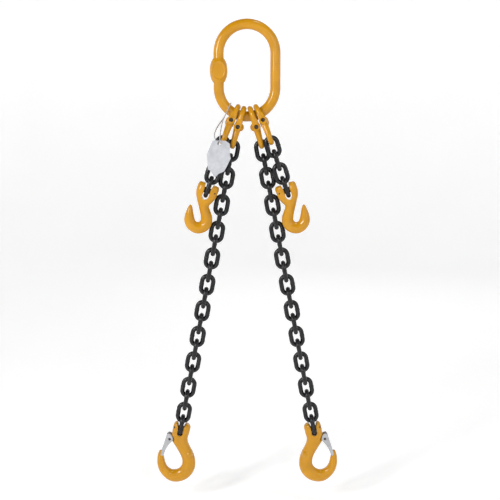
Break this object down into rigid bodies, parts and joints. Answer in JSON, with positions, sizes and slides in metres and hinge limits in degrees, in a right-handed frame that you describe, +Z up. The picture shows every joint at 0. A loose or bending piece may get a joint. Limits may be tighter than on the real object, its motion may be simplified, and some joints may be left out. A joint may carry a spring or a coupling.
{
  "type": "chain sling",
  "caption": "Oval master link carrying long chain legs with latched clevis hooks, shorter legs with grab hooks, and a wired identity tag.",
  "frame": {"origin": "inner crown of the master link, where the crane's hook bears", "axes": "+Z up along the hanging sling, +X to the right across the spread legs, -Y towards the viewer, on whose side the short legs and the tag hang"},
  "size_m": [0.4118, 0.0784, 1.035],
  "materials": {
    "yellow_paint": "glossy golden yellow paint over forged steel",
    "black_chain": "semi-gloss black coating over welded steel links",
    "latch_steel": "zinc-plated pressed sheet",
    "pin_steel": "dark oiled steel",
    "spring_steel": "bright spring wire",
    "tag_plate": "dull, lightly scuffed",
    "wire_steel": "dull galvanised wire"
  },
  "bodies": {
    "master_link": {"master_link": "yellow_paint"},
    "tag_wire": {"tag_wire": "wire_steel"},
    "identity_tag": {"identity_tag": "tag_plate"},
    "coupling_top_long_left": {"coupling_top_long_left": "yellow_paint", "coupling_pin_long_left": "pin_steel"},
    "coupling_bottom_long_left": {"coupling_bottom_long_left": "yellow_paint"},
    "coupling_top_short_left": {"coupling_top_short_left": "yellow_paint", "coupling_pin_short_left": "pin_steel"},
    "coupling_bottom_short_left": {"coupling_bottom_short_left": "yellow_paint"},
    "long_chain_left_01": {"long_chain_left_01": "black_chain"},
    "long_chain_left_02": {"long_chain_left_02": "black_chain"},
    "long_chain_left_03": {"long_chain_left_03": "black_chain"},
    "long_chain_left_04": {"long_chain_left_04": "black_chain"},
    "long_chain_left_05": {"long_chain_left_05": "black_chain"},
    "long_chain_left_06": {"long_chain_left_06": "black_chain"},
    "long_chain_left_07": {"long_chain_left_07": "black_chain"},
    "long_chain_left_08": {"long_chain_left_08": "black_chain"},
    "long_chain_left_09": {"long_chain_left_09": "black_chain"},
    "long_chain_left_10": {"long_chain_left_10": "black_chain"},
    "long_chain_left_11": {"long_chain_left_11": "black_chain"},
    "sling_hook_left": {"sling_hook_left": "yellow_paint", "sling_load_pin_left": "pin_steel", "latch_pin_left": "pin_steel"},
    "latch_left": {"latch_left": "latch_steel", "latch_spring_left": "spring_steel"},
    "short_link_left_1": {"short_link_left_1": "black_chain"},
    "short_link_left_2": {"short_link_left_2": "black_chain"},
    "short_link_left_3": {"short_link_left_3": "black_chain"},
    "short_link_left_4": {"short_link_left_4": "black_chain"},
    "grab_hook_left": {"grab_hook_left": "yellow_paint", "grab_load_pin_left": "pin_steel"},
    "coupling_top_long_right": {"coupling_top_long_right": "yellow_paint", "coupling_pin_long_right": "pin_steel"},
    "coupling_bottom_long_right": {"coupling_bottom_long_right": "yellow_paint"},
    "coupling_top_short_right": {"coupling_top_short_right": "yellow_paint", "coupling_pin_short_right": "pin_steel"},
    "coupling_bottom_short_right": {"coupling_bottom_short_right": "yellow_paint"},
    "long_chain_right_01": {"long_chain_right_01": "black_chain"},
    "long_chain_right_02": {"long_chain_right_02": "black_chain"},
    "long_chain_right_03": {"long_chain_right_03": "black_chain"},
    "long_chain_right_04": {"long_chain_right_04": "black_chain"},
    "long_chain_right_05": {"long_chain_right_05": "black_chain"},
    "long_chain_right_06": {"long_chain_right_06": "black_chain"},
    "long_chain_right_07": {"long_chain_right_07": "black_chain"},
    "long_chain_right_08": {"long_chain_right_08": "black_chain"},
    "long_chain_right_09": {"long_chain_right_09": "black_chain"},
    "long_chain_right_10": {"long_chain_right_10": "black_chain"},
    "long_chain_right_11": {"long_chain_right_11": "black_chain"},
    "sling_hook_right": {"sling_hook_right": "yellow_paint", "sling_load_pin_right": "pin_steel", "latch_pin_right": "pin_steel"},
    "latch_right": {"latch_right": "latch_steel", "latch_spring_right": "spring_steel"},
    "short_link_right_1": {"short_link_right_1": "black_chain"},
    "short_link_right_2": {"short_link_right_2": "black_chain"},
    "short_link_right_3": {"short_link_right_3": "black_chain"},
    "short_link_right_4": {"short_link_right_4": "black_chain"},
    "grab_hook_right": {"grab_hook_right": "yellow_paint", "grab_load_pin_right": "pin_steel"}
  },
  "joints": [
    {"name": "coupling_swing_long_left", "type": "hinge", "parent": "master_link", "child": "coupling_top_long_left", "pos_m": [-0.00877, 0, -0.18036], "axis": [0.9893, 0, -0.1461], "range_deg": [0, 30]},
    {"name": "coupling_fold_long_left", "type": "hinge", "parent": "coupling_top_long_left", "child": "coupling_bottom_long_left", "pos_m": [-0.01968, 0, -0.20265], "axis": [0, 1, 0], "range_deg": [-14, 0]},
    {"name": "coupling_swing_short_left", "type": "hinge", "parent": "master_link", "child": "coupling_top_short_left", "pos_m": [-0.02583, 0, -0.17516], "axis": [-0.9026, 0, 0.4305], "range_deg": [0, 6]},
    {"name": "coupling_fold_short_left", "type": "hinge", "parent": "coupling_top_short_left", "child": "coupling_bottom_short_left", "pos_m": [-0.03592, -0.00534, -0.19322], "axis": [-0.1078, 0.9681, -0.226], "range_deg": [0, 15]},
    {"name": "long_chain_bend_left_01", "type": "hinge", "parent": "coupling_bottom_long_left", "child": "long_chain_left_01", "pos_m": [-0.02935, 0, -0.2341], "axis": [0.9829, 0, -0.184], "range_deg": [0, 30]},
    {"name": "long_chain_bend_left_02", "type": "hinge", "parent": "long_chain_left_01", "child": "long_chain_left_02", "pos_m": [-0.0422, 0, -0.30276], "axis": [0, -1, 0], "range_deg": [-2, 16]},
    {"name": "long_chain_bend_left_03", "type": "hinge", "parent": "long_chain_left_02", "child": "long_chain_left_03", "pos_m": [-0.05131, 0, -0.35146], "axis": [-0.9829, 0, 0.184], "range_deg": [-30, 4]},
    {"name": "long_chain_bend_left_04", "type": "hinge", "parent": "long_chain_left_03", "child": "long_chain_left_04", "pos_m": [-0.06416, 0, -0.42012], "axis": [0, 1, 0], "range_deg": [-20, 30]},
    {"name": "long_chain_bend_left_05", "type": "hinge", "parent": "long_chain_left_04", "child": "long_chain_left_05", "pos_m": [-0.07327, 0, -0.46883], "axis": [0.9829, 0, -0.184], "range_deg": [-30, 30]},
    {"name": "long_chain_bend_left_06", "type": "hinge", "parent": "long_chain_left_05", "child": "long_chain_left_06", "pos_m": [-0.08612, 0, -0.53748], "axis": [0, -1, 0], "range_deg": [-30, 30]},
    {"name": "long_chain_bend_left_07", "type": "hinge", "parent": "long_chain_left_06", "child": "long_chain_left_07", "pos_m": [-0.09524, 0, -0.58619], "axis": [-0.9829, 0, 0.184], "range_deg": [-30, 30]},
    {"name": "long_chain_bend_left_08", "type": "hinge", "parent": "long_chain_left_07", "child": "long_chain_left_08", "pos_m": [-0.10809, 0, -0.65485], "axis": [0, 1, 0], "range_deg": [-30, 30]},
    {"name": "long_chain_bend_left_09", "type": "hinge", "parent": "long_chain_left_08", "child": "long_chain_left_09", "pos_m": [-0.1172, 0, -0.70355], "axis": [0.9829, 0, -0.184], "range_deg": [-30, 30]},
    {"name": "long_chain_bend_left_10", "type": "hinge", "parent": "long_chain_left_09", "child": "long_chain_left_10", "pos_m": [-0.13005, 0, -0.77221], "axis": [0, -1, 0], "range_deg": [-30, 30]},
    {"name": "long_chain_bend_left_11", "type": "hinge", "parent": "long_chain_left_10", "child": "long_chain_left_11", "pos_m": [-0.13917, 0, -0.82091], "axis": [-0.9829, 0, 0.184], "range_deg": [-30, 30]},
    {"name": "sling_hook_swing_left", "type": "hinge", "parent": "long_chain_left_11", "child": "sling_hook_left", "pos_m": [-0.14993, 0, -0.87841], "axis": [-0.9829, 0, 0.184], "range_deg": [-24, 24]},
    {"name": "latch_open_left", "type": "hinge", "parent": "sling_hook_left", "child": "latch_left", "pos_m": [-0.17538, 0, -0.90133], "axis": [0, -1, 0], "range_deg": [0, 35], "stiffness_Nm_per_rad": 0.05, "springref_deg": -34.38},
    {"name": "short_link_bend_left_1", "type": "hinge", "parent": "coupling_bottom_short_left", "child": "short_link_left_1", "pos_m": [-0.04851, -0.0143, -0.22559], "axis": [0.9537, 0, -0.3007], "range_deg": [-11, 0]},
    {"name": "short_link_bend_left_2", "type": "hinge", "parent": "short_link_left_1", "child": "short_link_left_2", "pos_m": [-0.05748, -0.0143, -0.25406], "axis": [0, -1, 0], "range_deg": [-30, 0]},
    {"name": "short_link_bend_left_3", "type": "hinge", "parent": "short_link_left_2", "child": "short_link_left_3", "pos_m": [-0.06646, -0.0143, -0.28253], "axis": [-0.9537, 0, 0.3007], "range_deg": [-2, 25]},
    {"name": "short_link_bend_left_4", "type": "hinge", "parent": "short_link_left_3", "child": "short_link_left_4", "pos_m": [-0.07544, -0.0143, -0.311], "axis": [0, 1, 0], "range_deg": [-2, 22]},
    {"name": "grab_hook_swing_left", "type": "hinge", "parent": "short_link_left_4", "child": "grab_hook_left", "pos_m": [-0.08524, -0.0143, -0.33792], "axis": [-0.9397, 0, 0.342], "range_deg": [-4, 12]},
    {"name": "coupling_swing_long_right", "type": "hinge", "parent": "master_link", "child": "coupling_top_long_right", "pos_m": [0.00877, 0, -0.18036], "axis": [-0.9893, 0, -0.1461], "range_deg": [-30, 0]},
    {"name": "coupling_fold_long_right", "type": "hinge", "parent": "coupling_top_long_right", "child": "coupling_bottom_long_right", "pos_m": [0.01968, 0, -0.20265], "axis": [0, -1, 0], "range_deg": [-14, 0]},
    {"name": "coupling_swing_short_right", "type": "hinge", "parent": "master_link", "child": "coupling_top_short_right", "pos_m": [0.02583, 0, -0.17516], "axis": [-0.9026, 0, -0.4305], "range_deg": [0, 35]},
    {"name": "coupling_fold_short_right", "type": "hinge", "parent": "coupling_top_short_right", "child": "coupling_bottom_short_right", "pos_m": [0.03592, -0.00534, -0.19322], "axis": [-0.1078, -0.9681, 0.226], "range_deg": [0, 35]},
    {"name": "long_chain_bend_right_01", "type": "hinge", "parent": "coupling_bottom_long_right", "child": "long_chain_right_01", "pos_m": [0.02935, 0, -0.2341], "axis": [0.9829, 0, 0.184], "range_deg": [0, 30]},
    {"name": "long_chain_bend_right_02", "type": "hinge", "parent": "long_chain_right_01", "child": "long_chain_right_02", "pos_m": [0.0422, 0, -0.30276], "axis": [0, 1, 0], "range_deg": [-2, 16]},
    {"name": "long_chain_bend_right_03", "type": "hinge", "parent": "long_chain_right_02", "child": "long_chain_right_03", "pos_m": [0.05131, 0, -0.35146], "axis": [-0.9829, 0, -0.184], "range_deg": [-30, 4]},
    {"name": "long_chain_bend_right_04", "type": "hinge", "parent": "long_chain_right_03", "child": "long_chain_right_04", "pos_m": [0.06416, 0, -0.42012], "axis": [0, -1, 0], "range_deg": [-20, 30]},
    {"name": "long_chain_bend_right_05", "type": "hinge", "parent": "long_chain_right_04", "child": "long_chain_right_05", "pos_m": [0.07327, 0, -0.46883], "axis": [0.9829, 0, 0.184], "range_deg": [-30, 30]},
    {"name": "long_chain_bend_right_06", "type": "hinge", "parent": "long_chain_right_05", "child": "long_chain_right_06", "pos_m": [0.08612, 0, -0.53748], "axis": [0, 1, 0], "range_deg": [-30, 30]},
    {"name": "long_chain_bend_right_07", "type": "hinge", "parent": "long_chain_right_06", "child": "long_chain_right_07", "pos_m": [0.09524, 0, -0.58619], "axis": [-0.9829, 0, -0.184], "range_deg": [-30, 30]},
    {"name": "long_chain_bend_right_08", "type": "hinge", "parent": "long_chain_right_07", "child": "long_chain_right_08", "pos_m": [0.10809, 0, -0.65485], "axis": [0, -1, 0], "range_deg": [-30, 30]},
    {"name": "long_chain_bend_right_09", "type": "hinge", "parent": "long_chain_right_08", "child": "long_chain_right_09", "pos_m": [0.1172, 0, -0.70355], "axis": [0.9829, 0, 0.184], "range_deg": [-30, 30]},
    {"name": "long_chain_bend_right_10", "type": "hinge", "parent": "long_chain_right_09", "child": "long_chain_right_10", "pos_m": [0.13005, 0, -0.77221], "axis": [0, 1, 0], "range_deg": [-30, 30]},
    {"name": "long_chain_bend_right_11", "type": "hinge", "parent": "long_chain_right_10", "child": "long_chain_right_11", "pos_m": [0.13917, 0, -0.82091], "axis": [-0.9829, 0, -0.184], "range_deg": [-30, 30]},
    {"name": "sling_hook_swing_right", "type": "hinge", "parent": "long_chain_right_11", "child": "sling_hook_right", "pos_m": [0.14993, 0, -0.87841], "axis": [-0.9829, 0, -0.184], "range_deg": [-24, 24]},
    {"name": "latch_open_right", "type": "hinge", "parent": "sling_hook_right", "child": "latch_right", "pos_m": [0.17538, 0, -0.90133], "axis": [0, 1, 0], "range_deg": [0, 35], "stiffness_Nm_per_rad": 0.05, "springref_deg": -34.38},
    {"name": "short_link_bend_right_1", "type": "hinge", "parent": "coupling_bottom_short_right", "child": "short_link_right_1", "pos_m": [0.04851, -0.0143, -0.22559], "axis": [0.9537, 0, 0.3007], "range_deg": [-30, 0]},
    {"name": "short_link_bend_right_2", "type": "hinge", "parent": "short_link_right_1", "child": "short_link_right_2", "pos_m": [0.05748, -0.0143, -0.25406], "axis": [0, 1, 0], "range_deg": [-30, 0]},
    {"name": "short_link_bend_right_3", "type": "hinge", "parent": "short_link_right_2", "child": "short_link_right_3", "pos_m": [0.06646, -0.0143, -0.28253], "axis": [-0.9537, 0, -0.3007], "range_deg": [-2, 30]},
    {"name": "short_link_bend_right_4", "type": "hinge", "parent": "short_link_right_3", "child": "short_link_right_4", "pos_m": [0.07544, -0.0143, -0.311], "axis": [0, -1, 0], "range_deg": [-2, 22]},
    {"name": "grab_hook_swing_right", "type": "hinge", "parent": "short_link_right_4", "child": "grab_hook_right", "pos_m": [0.08524, -0.0143, -0.33792], "axis": [-0.9397, 0, -0.342], "range_deg": [-4, 12]},
    {"name": "tag_wire_swing", "type": "hinge", "parent": "master_link", "child": "tag_wire", "pos_m": [-0.04015, 0, -0.16559], "axis": [-0.7431, 0, 0.6691], "range_deg": [0, 60]},
    {"name": "tag_swing", "type": "hinge", "parent": "tag_wire", "child": "identity_tag", "pos_m": [-0.058, -0.047, -0.236], "axis": [-1, 0, 0], "range_deg": [0, 42]}
  ]
}
